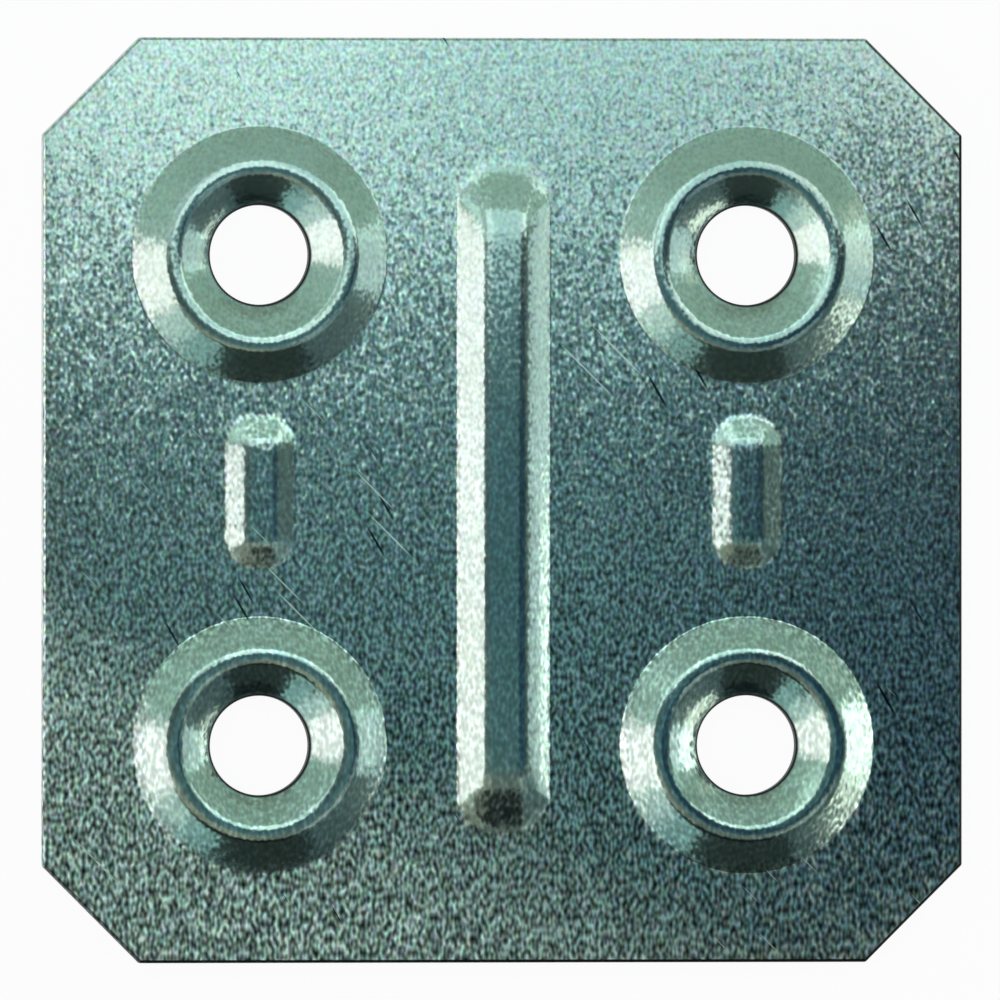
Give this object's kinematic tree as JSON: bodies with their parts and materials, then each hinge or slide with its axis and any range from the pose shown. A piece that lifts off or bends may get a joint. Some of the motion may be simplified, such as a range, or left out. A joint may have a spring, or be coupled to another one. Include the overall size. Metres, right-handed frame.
{
  "type": "joining plate",
  "caption": "Square pressed sheet-steel joining plate with cut corners, dished screw holes in raised rings and raised stiffening beads, for screwing two timbers or panels together.",
  "frame": {"origin": "middle of the plate on its flat underside, the face that lies on the timber", "axes": "+Z out of the raised face, where the screw heads go; +Y along the long bead; +X across it"},
  "size_m": [0.04, 0.04, 0.0017],
  "materials": {
    "zinc_plated_steel": "bright zinc plated, blue passivated, with a fine grain and light scratches"
  },
  "bodies": {
    "root": {"joining_plate": "zinc_plated_steel"}
  },
  "joints": []
}
